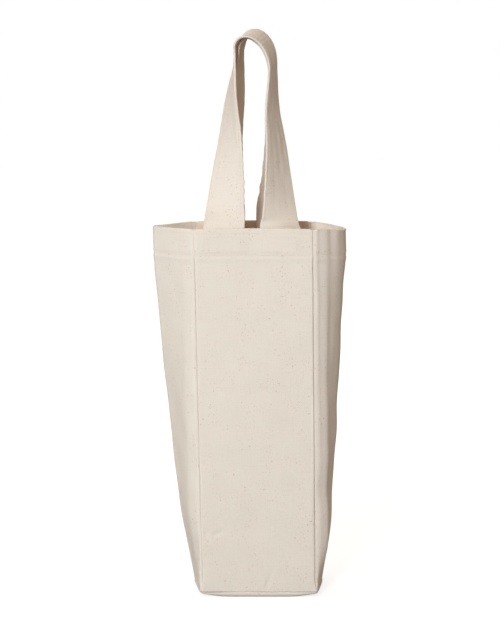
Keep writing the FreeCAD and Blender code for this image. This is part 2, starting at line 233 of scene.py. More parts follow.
def wall_points(name, body_counts, swell, lift):
    """Points over one wall: an upright profile carried along the wall's line in plan.
    The profile goes in insets and heights from the tip of the foot allowance up the outside, over the
    rim and down inside the hem. At each of its rows the line in plan is drawn in by the inset, mitred
    on the corner bisectors and rolled into the seam allowances, as far round as they have room for.
    swell pushes the cloth outwards, except at the seams. lift raises the rim, and fades out over the top
    three tenths of the wall. The rim dips into the corner seams.
    Also returns the cloth's own coordinates."""
    ply = 2.0 * RIM_FOLD
    foot = [(SEAM_ALLOWANCE, WALL_FOOT), (0.0, WALL_FOOT)]
    rim = [(0.0, BAG_HEIGHT), (ply, BAG_HEIGHT), (ply, HEM_FOOT)]
    turns = [np.array([turn]) for turn in foot + rim]
    profile = rounded_path(turns, [FOOT_ROLL, RIM_FOLD, RIM_FOLD], PROFILE_STEPS)[0]
    inset, z = profile.T
    turned = ease(inset / (0.8 * ply))
    full = ease((z - 8.0) / 10.0) * (1.0 - ease((z - HEM_FOOT + 12.0) / 11.0))
    allowance = mix(mix(HEM_ALLOWANCE, SEAM_ALLOWANCE, full), TURNED_ALLOWANCE, turned)[:, None]
    line, radii = wall_line(name, z)
    before = wall_line(BEFORE[name], z)[0]
    after = wall_line(AFTER[name], z)[0]
    first = unit(line[1] - line[0])
    last = unit(line[-1] - line[-2])
    into_start = unit(first - unit(before[-1] - before[-2]))
    into_end = unit(unit(after[1] - after[0]) - last)
    gap = SEAM_GAP / 2.0
    start = line[0] + first * gap / np.abs(dot(left_of(first), into_start))
    end = line[-1] - last * gap / np.abs(dot(left_of(last), into_end))
    start = start + into_start * inset[:, None] / dot(into_start, left_of(first))
    end = end + into_end * inset[:, None] / dot(into_end, left_of(last))
    bends = []
    for corner in line[1:-1]:
        middle = left_of(first) + left_of(last)
        bends.append(corner + middle * inset[:, None] / dot(middle, left_of(last)))
    corners = [start + into_start * allowance, start, *bends, end, end + into_end * allowance]
    rolls = []
    for opening in (dot(into_start, first), -dot(into_end, last)):
        fitting = 0.8 * allowance * np.tan(np.arccos(opening) / 2.0)
        rolls.append(np.minimum(SEAM_ROLL, fitting[:, 0]))
    radii = [rolls[0], *[radius - inset for radius in radii], rolls[1]]
    plan = rounded_path(corners, radii, [*START_STEPS, *body_counts, *END_STEPS])
    heading = unit(np.gradient(plan, axis=1))
    steps = np.linalg.norm(np.diff(plan, axis=1), axis=2)
    length = np.concatenate([np.zeros((len(z), 1)), np.cumsum(steps, axis=1)], axis=1)
    across = length - length[:, SEAM_COLUMN : SEAM_COLUMN + 1]
    width = across[:, -SEAM_COLUMN - 1 : -SEAM_COLUMN]
    rise = np.broadcast_to(z[:, None], across.shape)
    free = ease(across / SEAM_HOLD) * ease((width - across) / SEAM_HOLD)
    plan = plan - left_of(heading) * (free * swell(across, width, rise))[..., None]
    by_seam = 1.0 - ease(np.minimum(across, width - across) / DIP_WIDTH)
    dip = RIM_DIP * by_seam * ease((rise - BAG_HEIGHT) / DIP_DEPTH + 1.0)
    raised = ease((rise - 0.7 * BAG_HEIGHT) / (0.3 * BAG_HEIGHT))
    rise = rise + lift(across / width) * raised - dip
    climb = np.broadcast_to(run_along(profile)[:, None], across.shape)
    cloth = np.stack([across - width / 2.0, climb], -1)
    return np.concatenate([plan, rise[..., None]], -1), cloth


def hem_relief(z):
    """Relief of the hem: doubled cloth above, a groove along its stitches and a small ridge at its edge."""
    band = HEM_STEP * ease((z - HEM_FOOT + 5.2) / 3.4) + HEM_RIDGE * bump(z, HEM_FOOT - 1.6, 1.5)
    grooved = band - HEM_GROOVE * bump(z, HEM_FOOT + 1.6, 1.5)
    return grooved - RIM_GROOVE * bump(z, BAG_HEIGHT - RIM_ROW, 1.3)


def seam_pucker(across, width, z, seed):
    """Short ripples that the stitches draw along both corner seams and that die out across the cloth."""
    wave = np.sin(2.0 * np.pi * z / PUCKER_LENGTH + 2.5 * drift(0.0 * z, z, seed, 60.0))
    by_seam = np.exp(-across / PUCKER_REACH) + np.exp(-(width - across) / PUCKER_REACH)
    return PUCKER_HEIGHT * wave * by_seam * (0.6 + 0.4 * drift(across, z, seed + 1, 70.0))


def strap_relief(x, z, roots):
    """The sewn strap ends show through the hem as low plates, drawn in along their box of stitches."""
    relief = 0.0
    for root in roots:
        aside = np.abs(x - root)
        plate = (1.0 - ease((aside - STRAP_WIDTH / 2.0 + 1.5) / 3.0)) * ease((z - HEM_FOOT) / 3.0)
        between = ease((z - BOX_FOOT + 1.0) / 2.0) * (1.0 - ease((z - BOX_TOP + 1.0) / 2.0))
        relief = relief + STRAP_PLATE * plate - BOX_GROOVE * bump(aside, BOX_HALF, 1.0) * between
    return relief


def groove(x, z, middle, slope, length):
    """A short straight dent about its middle: one bell across its line and one along it."""
    run, climb = np.cos(np.radians(slope)), np.sin(np.radians(slope))
    along = (x - middle[0]) * run + (z - middle[1]) * climb
    aside = (z - middle[1]) * run - (x - middle[0]) * climb
    return bump(aside, 0.0, DENT_WIDTH) * bump(along, 0.0, length)


def front_swell(across, width, z):
    """Outward swell of the front panel: a slight bow, slow waves, hem, straps, seams, a pinched pair of
    dents low on the left and a slanting one by the base seam."""
    x = across - width / 2.0 + (seam_x(1, z) + seam_x(-1, z)) / 2.0
    bow = FRONT_BOW * hump(across / width) * hump(z / BAG_HEIGHT)
    dents = sum(depth * groove(x, z, *place) for depth, *place in FRONT_DENTS)
    sewing = hem_relief(z) + strap_relief(x, z, FRONT_ROOTS) + seam_pucker(across, width, z, 21)
    return bow + slow_waves(across, z, FRONT_WAVES) - dents + sewing


def rim_lift(middle):
    """How far a wall's rim stands up at shares of its width: a little low, and higher by middle half way."""
    return lambda share: middle * hump(share) - RIM_DROP


class Shade:
    """An output of a material's node tree. Arithmetic on it adds Math nodes."""

    def __init__(self, tree, socket=None):
        self.tree = tree
        self.socket = socket

    def add(self, kind, settings, inputs, output=0):
        """Adds a node: its settings first, then a value or a link for each of its sockets."""
        node = self.tree.nodes.new(kind)
        for name, value in settings.items():
            setattr(node, name, value)
        for name, value in inputs.items():
            if isinstance(value, Shade):
                self.tree.links.new(value.socket, node.inputs[name])
            else:
                node.inputs[name].default_value = value
        return Shade(self.tree, node.outputs[output])

    def other(self, output):
        """Another output of the same node."""
        return Shade(self.tree, self.socket.node.outputs[output])

    def math(self, operation, *values):
        """A Math node on values and outputs."""
        return self.add("ShaderNodeMath", {"operation": operation}, dict(enumerate(values)))

    def __add__(self, other):
        return self.math("ADD", self, other)

    def __radd__(self, other):
        return self.math("ADD", other, self)

    def __sub__(self, other):
        return self.math("SUBTRACT", self, other)

    def __rsub__(self, other):
        return self.math("SUBTRACT", other, self)

    def __mul__(self, other):
        return self.math("MULTIPLY", self, other)

    def __rmul__(self, other):
        return self.math("MULTIPLY", other, self)

    def step(self, low, high):
        """0 below low, 1 above high, smooth between."""
        ranges = {"Value": self, "From Min": low, "From Max": high}
        return self.add("ShaderNodeMapRange", {"interpolation_type": "SMOOTHSTEP"}, ranges)

    def place(self, x, y):
        """A point made of two values, to look a pattern up at."""
        return self.add("ShaderNodeCombineXYZ", {}, {"X": x, "Y": y})

    def noise(self, point, scale, detail=2.0):
        """Cloudy noise between 0 and 1 in two dimensions."""
        settings = {"noise_dimensions": "2D"}
        return self.add("ShaderNodeTexNoise", settings, {"Vector": point, "Scale": scale, "Detail": detail})

    def blend(self, share, first, second):
        """Two colours mixed by a share."""
        sockets = {0: share}
        for number, colour in ((6, first), (7, second)):
            sockets[number] = colour if isinstance(colour, Shade) else (*colour, 1.0)
        return self.add("ShaderNodeMix", {"data_type": "RGBA"}, sockets, 2)

    def cloth_place(self):
        """The cloth's own coordinates: both together, then each alone."""
        both = self.add("ShaderNodeUVMap", {"uv_map": "cloth"}, {})
        along = both.add("ShaderNodeSeparateXYZ", {}, {"Vector": both})
        return both, along, along.other(1)


CANVAS_TONE = (0.79, 0.75, 0.695)
CANVAS_SHADE = (0.645, 0.585, 0.51)
FLECK_TONE = (0.43, 0.31, 0.20)
# Painted shade: a warm brown mixed into the inward side of the canvas. It stands in for the warm shade
# inside the bag and between the straps. Below it, the share of that brown on the panels and the base.
PAINTED_WARM_SHADE = (0.82, 0.54, 0.34)
INSIDE_SHADE_SHARE = 0.42
# Places along the cloth from which it is turned inwards: past the rim's fold, or from its very start.
RIM_CLIMB = 329.0
WHOLE_CLOTH = -99.0
WEAVE_PITCH = 0.75
# How often a pattern changes along and up the cloth, per millimetre.
WEFT_SLUBS = (0.06, 1.1)
WARP_SLUBS = (1.1, 0.05)
SPECKS = (0.42, 0.6)
FIBRES = (0.9, 0.3)
# The same for patterns that change as often both ways.
WANDER = 0.35
CLOUDS = 0.035
GRAIN = 0.9
PATCHES = 0.06
# How much of the shade or of the fleck each pattern brings.
CLOUD_SHARE = 0.06
SLUB_SHARE = 0.13
GRAIN_SHARE = 0.16
WEAVE_SHARE = 0.10
SPECK_SHARE = 0.5
FIBRE_SHARE = 0.4


def new_finish(name):
    """An empty material, with its node tree and its surface shader."""
    material = bpy.data.materials.new(name)
    material.use_nodes = True
    return material, material.node_tree, material.node_tree.nodes["Principled BSDF"]


def canvas(name, tone, painted_light_from, painted_light_share, painted_light_tone):
    """Plain-woven unbleached cotton: over-and-under threads as the product of two sines, thicker slub
    threads both ways, slow cloudiness and sparse dark flecks of seed, on the cloth's own coordinates.
    From one place along the cloth on, which is its side turned inwards, another tone is mixed in as painted
    light and shade: a warm brown on the panels, base and straps, and a paler warm tone on the gussets."""
    material, tree, surface = new_finish(name)
    cloth = Shade(tree)
    uv, u, v = cloth.cloth_place()
    wander = cloth.noise(uv, WANDER) - 0.5
    weft_wave = (u + 0.5 * wander) * (math.pi / WEAVE_PITCH)
    warp_wave = (v + 0.5 * wander) * (math.pi / WEAVE_PITCH)
    weave = cloth.math("SINE", weft_wave) * cloth.math("SINE", warp_wave)
    weft_slub = cloth.noise(cloth.place(u * WEFT_SLUBS[0], v * WEFT_SLUBS[1]), 1.0, 3.0)
    warp_slub = cloth.noise(cloth.place(u * WARP_SLUBS[0], v * WARP_SLUBS[1]), 1.0, 3.0)
    cloud = cloth.noise(uv, CLOUDS, 3.0)
    grain = cloth.noise(uv, GRAIN, 1.0)
    speck = cloth.noise(cloth.place(u * SPECKS[0], v * SPECKS[1]), 1.0, 1.0).step(0.71, 0.77)
    fibre = cloth.noise(cloth.place(u * FIBRES[0] + 70.0, v * FIBRES[1]), 1.0, 1.0).step(0.71, 0.78)
    patchy = cloth.noise(uv, PATCHES, 1.0).step(0.38, 0.65)
    slubs = SLUB_SHARE * weft_slub.step(0.5, 0.75) + SLUB_SHARE * warp_slub.step(0.5, 0.75)
    stain = CLOUD_SHARE * cloud.step(0.35, 0.75) + slubs + GRAIN_SHARE * grain
    stain = stain + WEAVE_SHARE * (0.5 - 0.5 * weave)
    colour = cloth.blend(stain, tone, CANVAS_SHADE)
    flecks = (SPECK_SHARE * speck + FIBRE_SHARE * fibre) * patchy
    colour = cloth.blend(flecks, colour, FLECK_TONE)
    # Painted light and shade: the inward side takes on the tone that stands in for the light inside the bag.
    colour = cloth.blend(painted_light_share * v.step(painted_light_from, painted_light_from + 3.0), colour, painted_light_tone)
    height = 0.5 * weave + 0.4 * weft_slub + 0.4 * warp_slub
    relief = cloth.add("ShaderNodeBump", {}, {"Strength": 0.55, "Distance": 0.00035, "Height": height})
    surface.inputs["Specular IOR Level"].default_value = 0.15
    tree.links.new(colour.socket, surface.inputs["Base Color"])
    tree.links.new((0.86 + 0.1 * grain).socket, surface.inputs["Roughness"])
    tree.links.new(relief.socket, surface.inputs["Normal"])
    return material


def add_mesh(name, points, faces, cloth, material):
    """A smooth object from points, faces and the cloth's own coordinates at each corner of each face."""
    mesh = bpy.data.meshes.new(name)
    mesh.from_pydata((points.reshape(-1, 3) * MM).tolist(), [], faces)
    mesh.uv_layers.new(name="cloth").data.foreach_set("uv", cloth.astype(np.float32).ravel())
    mesh.polygons.foreach_set("use_smooth", np.ones(len(faces), bool))
    mesh.materials.append(material)
    made = bpy.data.objects.new(name, mesh)
    bpy.context.scene.collection.objects.link(made)
    return made


def piece(name, points, cloth, material, inside=None, caps=None):
    """A mesh over a grid of points, rows by columns, its faces turned by columns first and rows second.
    With caps, which names its capped ends, the last column joins the first. A sheet, which has a second
    material for its inner side, gets the cloth's thickness."""
    rows, columns = points.shape[:2]
    index = np.arange(rows * columns).reshape(rows, columns)
    ring = index if caps is None else np.concatenate([index, index[:, :1]], axis=1)
    grid = np.arange(rows * ring.shape[1]).reshape(ring.shape)
    quads, corners = [
        np.stack([g[:-1, :-1], g[:-1, 1:], g[1:, 1:], g[1:, :-1]], -1).reshape(-1, 4) for g in (ring, grid)
    ]
    faces = quads.tolist()
    uv = cloth.reshape(-1, 2)[corners.reshape(-1)]
    for end in caps or ():
        rim, edge = (index[0, ::-1], cloth[0, -2::-1]) if end == "first" else (index[-1], cloth[-1, :-1])
        faces.append(rim.tolist())
        uv = np.concatenate([uv, edge])
    made = add_mesh(name, points, faces, uv, material)
    if inside:
        made.data.materials.append(inside)
        solid = made.modifiers.new("cloth thickness", "SOLIDIFY")
        solid.thickness = CLOTH * MM
        solid.offset = -1.0
        solid.material_offset = 1
    return made


# The canvas of the panels and the base has painted warm shade on the hem's inner ply past the rim. Their
# inner face is painted shade all over.
panel_canvas = canvas("natural canvas", CANVAS_TONE, RIM_CLIMB, INSIDE_SHADE_SHARE, PAINTED_WARM_SHADE)
shaded_inside_canvas = canvas("natural canvas painted shade inside", CANVAS_TONE, WHOLE_CLOTH, INSIDE_SHADE_SHARE, PAINTED_WARM_SHADE)
front_points, front_cloth = wall_points("front", [70], front_swell, rim_lift(PANEL_RIM))
front_panel = piece("front_panel_cloth", front_points, front_cloth, panel_canvas, shaded_inside_canvas)
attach(front_panel, "bag")
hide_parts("front_panel")

# Back panel. The same cut and the same canvas as the front, sewn in to face it.
# Its hem holds the ends of the back handle.

BACK_BOW = 0.9
BACK_WAVES = ((0.5, 31, 90.0), (0.25, 32, 40.0))


def back_swell(across, width, z):
    """Outward swell of the back panel: a slight bow, slow waves, hem, straps and seams."""
    x = width / 2.0 - across + (seam_x(1, z) + seam_x(-1, z)) / 2.0
    bow = BACK_BOW * hump(across / width) * hump(z / BAG_HEIGHT)
    sewing = hem_relief(z) + strap_relief(x, z, BACK_ROOTS) + seam_pucker(across, width, z, 41)
    return bow + slow_waves(across, z, BACK_WAVES) + sewing


back_points, back_cloth = wall_points("back", [70], back_swell, rim_lift(PANEL_RIM))
back_panel = piece("back_panel_cloth", back_points, back_cloth, panel_canvas, shaded_inside_canvas)
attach(back_panel, "bag")
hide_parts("back_panel")

# Gussets. The two side walls, cut wider than the depth they close, so that they belly outwards:
# the left one along a soft crease, the right one in a round fold. Same canvas and hem, except that their
# inward side has painted light instead of painted shade. Their rims sink towards the middle.

# Painted light: a paler, warmer tone mixed into the gussets' inward side. It stands in for the lamps' light
# that comes through the thin cloth. Below it, the share of that tone.
GUSSET_PAINTED_LIGHT = (0.95, 0.83, 0.72)
GUSSET_LIGHT_SHARE = 0.6
LEFT_RIM = -0.6
RIGHT_RIM = -2.8
LEFT_WAVES = ((0.5, 51, 80.0), (0.25, 52, 36.0))
RIGHT_WAVES = ((0.5, 71, 80.0), (0.3, 72, 34.0))
# The shoulders beside the seams: their heights at the base and at the rim, the distance of their edge
# from the seam, and how soft it is.
LEFT_SHOULDER = (6.4, 0.8)
LEFT_EDGE = 12.0
LEFT_SOFTNESS = 0.3
RIGHT_FACET = (9.5, 2.6)
RIGHT_EDGE = (9.5, 12.5)
RIGHT_SOFTNESS = (0.25, 0.12)
# The gussets' middles: how far they are drawn in or let out, at which height and over which reach.
LEFT_DRAWN_IN = (1.8, 185.0, 75.0)
RIGHT_LET_OUT = (2.2, 62.0, 30.0)
RIGHT_DRAWN_IN = (2.5, 235.0, 90.0)
# The thin roll beside the right gusset's seams: height, distance from the seam and width.
RIGHT_ROLL = (0.5, 2.4, 1.4)
FIRST_FOLD = 17.0
FOLD_WIDTH = 8.0
LAST_FOLD = 0.74


def shoulder(across, width, edge, softness):
    """Height, up to about 1, of a facet beside each seam: it climbs evenly to an edge and from there falls
    off towards the gusset's middle. The edge is a soft minimum of the two slopes."""
    height = 0.0
    for away in (across, width - across):
        climb = away / edge
        fall = np.clip((width / 2.0 - away) / (width / 2.0 - edge), 0.0, 1.0) ** 1.5
        height = height - softness * np.log(np.exp(-climb / softness) + np.exp(-fall / softness))
    return height


def left_swell(across, width, z):
    """Outward swell of the left gusset: soft round shoulders by the seams, lower towards the rim, slow
    waves, hem and seams, and a middle that is drawn in a little half way up."""
    height = mix(*LEFT_SHOULDER, z / BAG_HEIGHT) * ease(z / 80.0)
    round_by_seam = height * shoulder(across, width, LEFT_EDGE, LEFT_SOFTNESS)
    drawn_in, *place = LEFT_DRAWN_IN
    middle = -drawn_in * bump(z, *place) * hump(across / width) ** 2
    sewing = hem_relief(z) + seam_pucker(across, width, z, 61)
    return slow_waves(across, z, LEFT_WAVES) + round_by_seam + middle + sewing


def right_swell(across, width, z):
    """Outward swell of the right gusset: by each seam a thin roll and a facet about a centimetre wide,
    lower towards the rim, then soft upright folds; slow waves, hem and seams; and a middle that is drawn
    in above and full below."""
    share = z / BAG_HEIGHT
    height = mix(*RIGHT_FACET, share) * ease(z / 55.0)
    facet = height * shoulder(across, width, mix(*RIGHT_EDGE, share), mix(*RIGHT_SOFTNESS, share))
    roll_height, *place = RIGHT_ROLL
    roll = roll_height * (bump(across, *place) + bump(width - across, *place))
    let_out, *low = RIGHT_LET_OUT
    drawn_in, *high = RIGHT_DRAWN_IN
    middle = (let_out * bump(z, *low) - drawn_in * bump(z, *high)) * hump(across / width) ** 2
    first = FIRST_FOLD + 1.5 * np.sin(z / 37.0)
    second = first + FOLD_WIDTH
    third = LAST_FOLD * width + 2.5 * np.sin(z / 60.0)
    folds = 0.6 * bump(across, second, 4.5) - 0.5 * bump(across, first, 3.5) - 0.7 * bump(across, third, 5.0)
    reach = ease((z - 140.0) / 120.0) * (0.7 + 0.4 * drift(0.0 * z, z, 73, 120.0))
    sewing = hem_relief(z) + seam_pucker(across, width, z, 81)
    return slow_waves(across, z, RIGHT_WAVES) + facet + roll + middle + folds * reach + sewing


gusset_canvas = canvas("gusset canvas", CANVAS_TONE, RIM_CLIMB, GUSSET_LIGHT_SHARE, GUSSET_PAINTED_LIGHT)
lit_gusset_inside = canvas("gusset canvas painted light inside", CANVAS_TONE, WHOLE_CLOTH, GUSSET_LIGHT_SHARE, GUSSET_PAINTED_LIGHT)
left_points, left_cloth = wall_points("left", [30, 24, 30], left_swell, rim_lift(LEFT_RIM))
right_points, right_cloth = wall_points("right", [22, 40, 22], right_swell, rim_lift(RIGHT_RIM))
for side, points, cloth in (("left", left_points, left_cloth), ("right", right_points, right_cloth)):
    gusset = piece(side + "_gusset_cloth", points, cloth, gusset_canvas, lit_gusset_inside)
    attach(gusset, "bag")
    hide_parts(side + "_gusset")

# Base panel. One piece of the same canvas, its edge rolled up to the seam with the walls and turned in
# there. The bag stands on it.

BASE_LIFT = 4.4
BASE_EDGE_RADIUS = 3.2
BASE_CORNER_RADIUS = 5.0
BASE_LIP_RADIUS = 0.9
BASE_EDGE_RUN = 16.0
CORNER_REACH = 13.0
CORNER_LIFT = 0.6
# Steps along the front, right, back and left edges and round the corners and creases between.
BASE_STEPS = [14, 5, 60, 5, 16, 60, 16, 5, 60, 5, 16, 60, 15]
# Steps up the rolled edge, and the rings that fill the middle.
EDGE_STEPS = [8, 8, 0, 6, 6]
INNER_RINGS = 21
SMALLEST_RING = 0.02
EDGE_WAVE = 0.3


def base_rings(inset):
    """The bag's outline at its foot, drawn in by each inset, with its corners rounded."""
    foot = np.array([WALL_FOOT])
    corners, radii = [], []
    for name in ("front", "right", "back", "left"):
        line, creases = wall_line(name, foot)
        corners += line[:-1]
        radii += [BASE_CORNER_RADIUS, *[float(crease[0]) for crease in creases]]
    loop = [corners[-1], *corners, corners[0]]
    drawn = []
    for before, corner, after in zip(loop, loop[1:], loop[2:]):
        arriving = left_of(unit(corner - before))
        leaving = left_of(unit(after - corner))
        middle = arriving + leaving
        drawn.append(corner + middle * (inset[:, None] / dot(middle, leaving)))
    begin = (drawn[-1] + drawn[0]) / 2.0
    softened = [np.maximum(radius - inset, CLOTH) for radius in radii]
    return rounded_path([begin, *drawn, begin], softened, BASE_STEPS)


def base_points():
    """Points over the base and the cloth's own coordinates.
    From a small ring in the middle the outline grows evenly; then a profile of insets and heights is
    carried round it, along the floor, up the rolled edge and in along the lip. Near the four corners the
    seam draws the edge up off the floor. The cloth's own coordinates go on outwards where the edge rolls."""
    turns = [(BASE_EDGE_RUN, 0.0), (0.0, 0.0), (0.0, BASE_LIFT), (SEAM_ALLOWANCE, BASE_LIFT)]
    turns = [np.array([turn]) for turn in turns]
    profile = rounded_path(turns, [BASE_EDGE_RADIUS, BASE_LIP_RADIUS], EDGE_STEPS)[0]
    inset, z = profile.T
    rings = base_rings(inset)
    cloth = base_rings(inset[0] - run_along(profile))
    middle = rings[0].mean(axis=0)
    grow = np.linspace(SMALLEST_RING, 1.0, INNER_RINGS + 1)[:-1, None, None]
    inner = middle + (rings[:1] - middle) * grow
    rings = np.concatenate([inner, rings])
    cloth = np.concatenate([inner, cloth])
    z = np.concatenate([np.zeros(len(grow)), z])[:, None]
    seams = np.stack([wall_line(name, np.array([WALL_FOOT]))[0][0][0] for name in BEFORE])
    to_seams = np.linalg.norm(rings[:, :, None] - seams, axis=-1)
    drawn_up = CORNER_LIFT * bump(to_seams, 0.0, CORNER_REACH).max(axis=2)
    wavy = z + EDGE_WAVE * ease(z / 3.0) * drift(*rings.T, 91, 45.0).T
    rise = mix(wavy, BASE_LIFT, drawn_up)
    return np.concatenate([rings, rise[..., None]], -1)[:, :-1], cloth


base_grid, base_cloth = base_points()
base_panel = piece("base_panel_cloth", base_grid, base_cloth, panel_canvas, shaded_inside_canvas, caps=("first",))
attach(base_panel, "bag")
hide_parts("base_panel")

# Handles. Each is one strip of the canvas folded into a flat strap and topstitched along its open edge.
# Both ends are sewn inside the hem; each leg turns a quarter turn on its way up to the arch.

STRAP_THICKNESS = 2.0
STRAP_FOOT = BAG_HEIGHT + 0.3
ROOT_Y = RIM_DEPTH / 2.0 - 2.0 * CLOTH - SEAM_GAP - STRAP_THICKNESS / 2.0
ARCH_SPREAD = 7.0
TWIST_BELOW = 0.045
EDGE_LEAN = 1.3
BOW_MIDDLE = 0.74
BOW_REACH = 0.17
STRAP_STEP = 1.0
SMOOTHING = 2.5
SMOOTH_STEPS = 6
LEG_STEPS = 90
ARCH_STEPS = 60
SEWN_STEPS = 18
FACE_STEPS = 34
EDGE_TURN_STEPS = 9
HELD_END = 30.0
STITCH_DIP = 0.25
FULLNESS = 0.12
CUP = 0.3
GATHER_HEIGHT = 0.16
GATHER_MIDDLE = 3.0
GATHER_REACH = 5.0
EDGE_STITCH = 15.0
TOPSTITCH_FROM = 1.5
STRAP_TONE = (0.79, 0.745, 0.685)
# Painted shade on the straps: the place along the cloth from which it starts, and the share of the warm
# brown.
STRAP_SHADE_FROM = 100.0
STRAP_SHADE_SHARE = 0.22
# Each leg: X of its root and its top, its rise, its bow, its turn in degrees, the power of the turn, and
# the share of the rise by which the turn has fully begun.
LEGS = {
    "front": (
        (FRONT_ROOTS[0], -20.2, 154.5, -1.5, 96.0, 0.79, 0.16),
        (FRONT_ROOTS[1], 12.4, 137.0, -2.2, 80.0, 0.42, 0.08),
    ),
    "back": (
        (BACK_ROOTS[0], -16.6, 153.0, 2.0, 84.0, 0.42, 0.16),
        (BACK_ROOTS[1], 11.2, 137.0, -3.2, 98.0, 0.58, 0.2),
    ),
}
# Each arch: its side of the bag, its peak's X and height, its turn there, its tilts and its seed.
ARCHES = {
    "front": (-1, (-6.7, 493.4), 103.0, (1.0, 11.0), 101),
    "back": (1, (-6.0, 491.7), 78.0, (-1.0, -11.0), 111),
}


def strap_rail(side, legs, peak, arch_turn, tilts):
    """Middle line of one strap and the directions along, across and through it, at even steps.
    A leg rises from its root with its outward edge leading the lean, bows sideways near its top and turns
    by a power of its share of the rise. The arch is two quarter ellipses from the legs' tops to its peak,
    tilting more from the left one on. The sewn ends lie on the panel's slope. The whole rail is then
    smoothed over a few millimetres."""
    share = np.linspace(0.0, 1.0, LEG_STEPS)
    angle = np.linspace(0.0, np.pi, ARCH_STEPS)[1:-1]
    half = STRAP_WIDTH / 2.0
    lines = []
    leg_turns = []
    for root, top, rise, bow, turn, power, begin in legs:
        risen = (share + TWIST_BELOW) / (1.0 + TWIST_BELOW)
        turned = np.radians(turn) * risen**power * ease(risen / begin)
        edge = mix(-ROOT_Y, -ARCH_SPREAD - half * np.sin(np.radians(turn)), share**EDGE_LEAN)
        aside = mix(root, top, share) + bow * bump(share, BOW_MIDDLE, BOW_REACH)
        lines.append(np.stack([aside, edge + half * np.sin(turned), STRAP_FOOT + rise * share], -1))
        leg_turns.append(turned)
    first = angle < np.pi / 2.0
    reach = np.where(first, peak[0] - lines[0][-1, 0], lines[1][-1, 0] - peak[0])
    spring = np.where(first, lines[0][-1, 2], lines[1][-1, 2])
    arch_x = peak[0] - reach * np.cos(angle)
    arch_z = mix(spring, peak[1], np.sin(angle))
    arch = np.stack([arch_x, np.full_like(angle, -ARCH_SPREAD), arch_z], -1)
    ends = np.where(first, leg_turns[0][-1], np.pi - leg_turns[1][-1])
    arch_turns = mix(ends, np.radians(arch_turn), np.sin(angle))
    drop = np.linspace(HEM_DEPTH, 0.0, SEWN_STEPS, endpoint=False)
    lean = (BASE_DEPTH - RIM_DEPTH) / 2.0 / BAG_HEIGHT
    sewn = [np.stack([0.0 * drop + leg[0], -ROOT_Y - lean * drop, STRAP_FOOT - drop], -1) for leg in legs]
    middle = np.concatenate([sewn[0], lines[0], arch, lines[1][::-1], sewn[1][::-1]])
    flat = np.zeros_like(drop)
    turned = np.concatenate([flat, leg_turns[0], arch_turns, np.pi - leg_turns[1][::-1], flat + np.pi])
    tilted = mix(tilts[0], tilts[1], ease(2.0 * angle / np.pi))
    tilted = np.concatenate([flat, tilts[0] * share**3, tilted, tilts[1] * share[::-1] ** 3, flat])
    across = np.stack([np.cos(turned), -np.sin(turned), -np.sin(np.radians(tilted))], -1)
    mirror = np.array([1.0, -side, 1.0])
    rail = np.concatenate([middle * mirror, across * mirror], -1)
    length = run_along(middle)
    even = np.linspace(0.0, length[-1], int(length[-1] / STRAP_STEP))
    rail = np.stack([np.interp(even, length, track) for track in rail.T], -1)
    weights = bump(np.arange(-SMOOTH_STEPS, SMOOTH_STEPS + 1) * STRAP_STEP, 0.0, SMOOTHING)
    before = 2.0 * rail[:1] - rail[SMOOTH_STEPS:0:-1]
    after = 2.0 * rail[-1:] - rail[-2 : -SMOOTH_STEPS - 2 : -1]
    padded = np.concatenate([before, rail, after])
    rail = np.stack([np.convolve(track, weights / weights.sum(), "valid") for track in padded.T], -1)
    heading = unit(np.gradient(rail[:, :3], axis=0))
    across = unit(rail[:, 3:] - heading * dot(rail[:, 3:], heading))
    return rail[:, :3], heading, across, np.cross(heading, across), even


